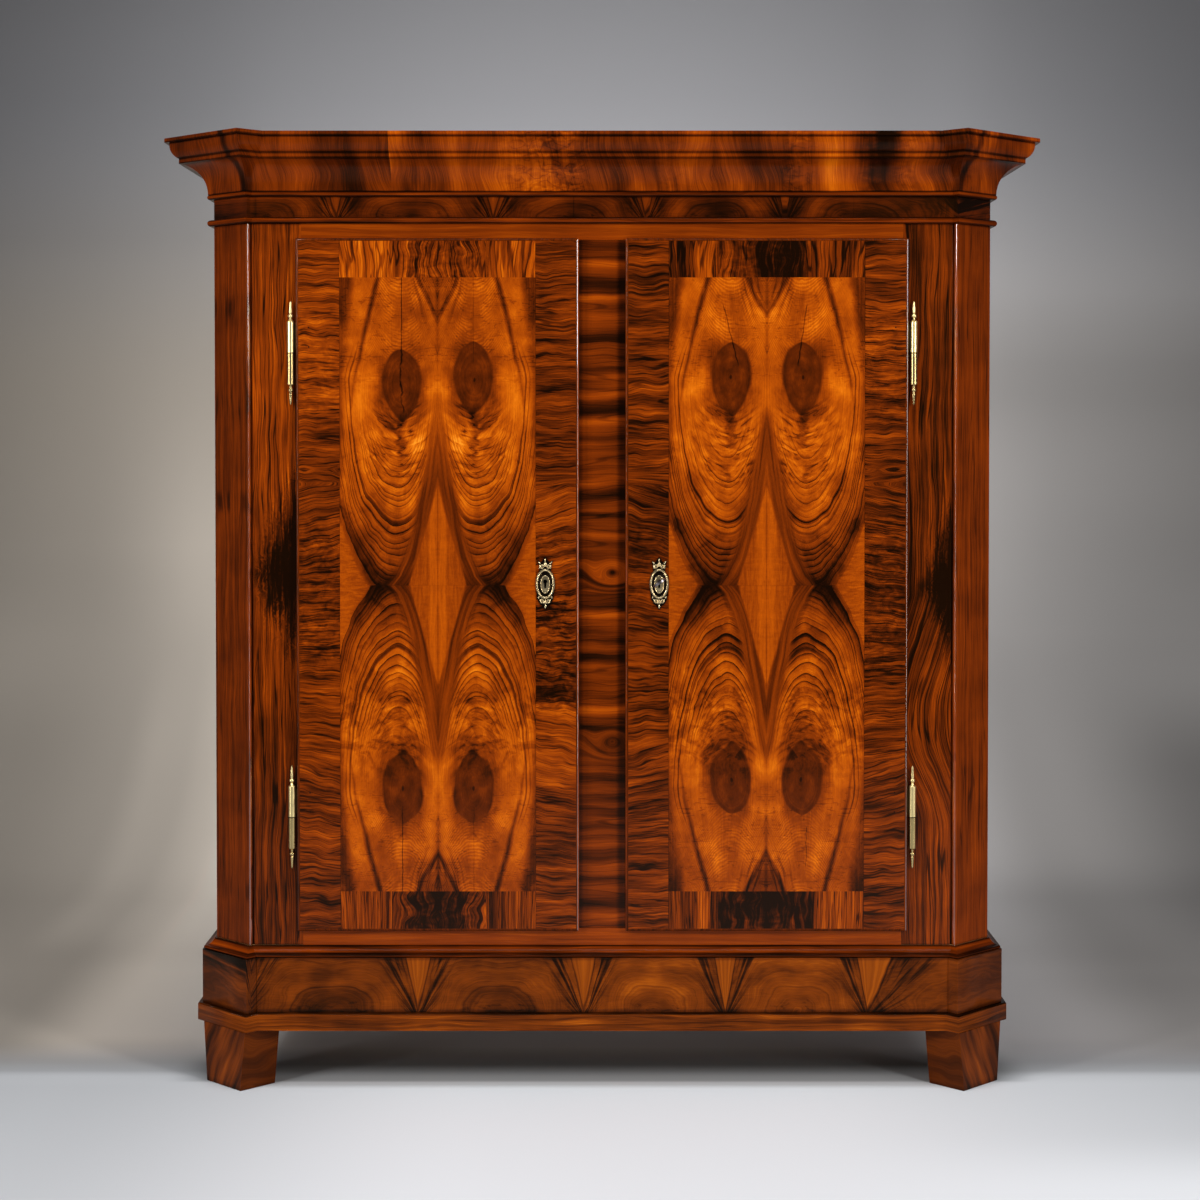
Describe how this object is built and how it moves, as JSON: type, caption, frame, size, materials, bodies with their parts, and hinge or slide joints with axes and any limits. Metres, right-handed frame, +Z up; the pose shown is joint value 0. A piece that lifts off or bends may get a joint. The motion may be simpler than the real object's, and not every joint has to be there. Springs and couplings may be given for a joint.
{
  "type": "wardrobe",
  "caption": "Two-door wardrobe with canted front corners, built-up cornice, book-matched veneered doors, a hat shelf and clothes rail inside, on tapered bracket feet.",
  "frame": {"origin": "on the floor, in the middle of the overall width and depth", "axes": "+X to the right seen from the front, +Y to the back, +Z up"},
  "size_m": [1.887, 0.6674, 2.043],
  "materials": {
    "walnut": "French-polished walnut, gloss",
    "crotch_veneer": "figured crotch walnut veneer, high gloss",
    "door_groundwork": "walnut edging, gloss, over softwood",
    "pine": "bare softwood, matt",
    "brass": "polished and aged brass",
    "iron": "dark iron, worn",
    "steel": "dull steel"
  },
  "bodies": {
    "carcass": {"foot_front_left": "walnut", "foot_front_right": "walnut", "feet_rear": "walnut", "plinth_band": "walnut", "plinth_moulding": "walnut", "side_left": "walnut", "side_right": "walnut", "pilaster_left": "walnut", "pilaster_right": "walnut", "stile_left": "walnut", "stile_right": "walnut", "centre_post": "walnut", "top_rail": "walnut", "bottom_rail": "walnut", "bead_lower": "walnut", "bead_upper": "walnut", "cornice_cove": "walnut", "cornice_crown": "walnut", "plinth_front": "crotch_veneer", "plinth_left": "crotch_veneer", "plinth_right": "crotch_veneer", "frieze_front": "crotch_veneer", "frieze_left": "crotch_veneer", "frieze_right": "crotch_veneer", "plinth_rear": "pine", "floor_board": "pine", "back_boards": "pine", "back_rail": "pine", "top_board": "pine", "frieze_rear": "pine", "hat_shelf": "pine", "shelf_battens": "pine", "rail_brackets": "pine", "clothes_rail": "pine", "hinge_frame_halves": "brass", "strike_plates": "iron", "hinge_pins": "steel"},
    "door_left": {"door_left_stiles": "door_groundwork", "door_left_rails": "door_groundwork", "door_left_panels": "door_groundwork", "door_left_veneer": "crotch_veneer", "door_left_banding": "crotch_veneer", "door_left_hinge_halves": "brass", "door_left_leaf_pins": "steel", "lock_left_case": "iron", "escutcheon_left": "brass"},
    "door_right": {"door_right_stiles": "door_groundwork", "door_right_rails": "door_groundwork", "door_right_panels": "door_groundwork", "door_right_veneer": "crotch_veneer", "door_right_banding": "crotch_veneer", "door_right_hinge_halves": "brass", "door_right_leaf_pins": "steel", "lock_right_case": "iron", "escutcheon_right": "brass"},
    "bolt_left": {"lock_left_bolt": "steel"},
    "bolt_right": {"lock_right_bolt": "steel"},
    "key": {"key_right": "iron"}
  },
  "joints": [
    {"name": "left_door_swing", "type": "hinge", "parent": "carcass", "child": "door_left", "pos_m": [-0.667, -0.19529, 1.0815], "axis": [0, 0, -1], "range_deg": [0, 165]},
    {"name": "right_door_swing", "type": "hinge", "parent": "carcass", "child": "door_right", "pos_m": [0.667, -0.19529, 1.0815], "axis": [0, 0, 1], "range_deg": [0, 165]},
    {"name": "left_bolt_slide", "type": "slide", "parent": "door_left", "child": "bolt_left", "axis": [1, 0, 0], "range_m": [0, 0.012]},
    {"name": "key_turn", "type": "hinge", "parent": "door_right", "child": "key", "pos_m": [0.122, -0.20429, 1.091], "axis": [0, -1, 0], "range_deg": [0, 110]},
    {"name": "right_bolt_slide", "type": "slide", "parent": "door_right", "child": "bolt_right", "axis": [-1, 0, 0], "range_m": [0, 0.012]}
  ],
  "couplings": [
    {"joint": "key_turn", "follows": "right_bolt_slide", "rad_per_m": 159.99}
  ]
}
